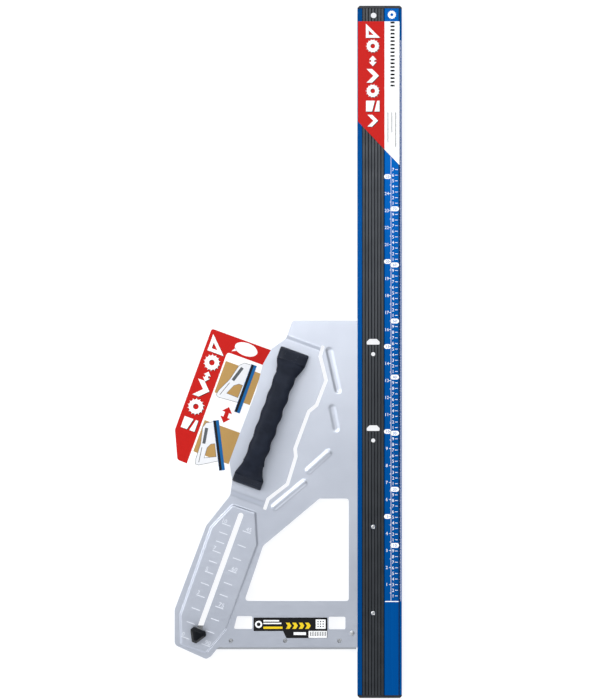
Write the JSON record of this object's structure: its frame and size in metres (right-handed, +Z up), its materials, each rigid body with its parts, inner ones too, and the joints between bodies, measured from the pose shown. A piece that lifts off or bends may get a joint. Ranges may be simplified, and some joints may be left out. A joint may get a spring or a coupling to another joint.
{
  "type": "adjustable angle circular saw guide",
  "caption": "Long guide rail with a rule along it, on a pressed plate with a D-handle; a fence under the plate swings 45 degrees and clamps with a wing knob.",
  "frame": {"origin": "middle of the bounding box in X and Y, at the lowest point of the fence in Z", "axes": "+Y along the guide rail away from the user, +X towards the sawing edge, +Z up from the work"},
  "size_m": [0.4054, 1.234, 0.076],
  "materials": {
    "blue_extrusion": "blue anodised extrusion, satin gloss with fine lines along it",
    "dark_strip": "dark grey anodised ribbed strip",
    "pressed_sheet": "silver anodised pressed sheet, fine satin",
    "fence_bar": "silver anodised angle",
    "cap_plastic": "moulded black plastic",
    "handle_plastic": "moulded dark navy plastic",
    "grip_rubber": "soft dark overmould with finger waves",
    "pad_rubber": "anti-slip strip",
    "steel": "zinc plated steel",
    "brass": "turned brass",
    "film_label": "printed red and white film",
    "black_label": "printed black and yellow film",
    "card": "printed card, red and white"
  },
  "bodies": {
    "frame": {"guide_rail": "blue_extrusion", "slide_strip": "dark_strip", "rail_cap_near": "cap_plastic", "rail_cap_far": "cap_plastic", "rail_pad_middle": "pad_rubber", "rail_pad_right": "pad_rubber", "rail_pad_left_near": "pad_rubber", "rail_pad_left_far": "pad_rubber", "rail_screw_1": "steel", "rail_screw_2": "steel", "rail_nut_1": "steel", "rail_nut_2": "steel", "base_plate": "pressed_sheet", "handle_foot_upper": "handle_plastic", "handle_foot_lower": "handle_plastic", "handle_grip": "grip_rubber", "handle_screw_1": "steel", "handle_screw_2": "steel", "handle_screw_3": "steel", "handle_screw_4": "steel", "pivot_rivet": "steel", "rail_label": "film_label", "plate_label": "black_label", "display_card": "card"},
    "fence": {"fence_arm": "steel", "fence_rail": "fence_bar", "fence_screw_1": "steel", "fence_screw_2": "steel", "fence_screw_3": "steel", "pivot_washer": "steel"},
    "clamp": {"clamp_bolt": "steel", "knob_washer": "steel"},
    "knob": {"clamp_knob": "cap_plastic", "knob_insert": "brass"}
  },
  "joints": [
    {"name": "fence_hinge", "type": "hinge", "parent": "frame", "child": "fence", "pos_m": [0.1137, -0.5023, 0.017], "axis": [0, 0, -1], "range_deg": [0, 45]},
    {"name": "clamp_slide", "type": "slide", "parent": "frame", "child": "clamp", "axis": [0.342, 0.9397, 0], "range_m": [0, 0.2126]},
    {"name": "knob_spin", "type": "hinge", "parent": "clamp", "child": "knob", "pos_m": [-0.1613, -0.5023, 0.036], "axis": [0, 0, 1], "range_deg": [0, 360]}
  ],
  "couplings": [
    {"joint": "clamp_slide", "follows": "fence_hinge", "m_per_rad": 0.27055}
  ]
}
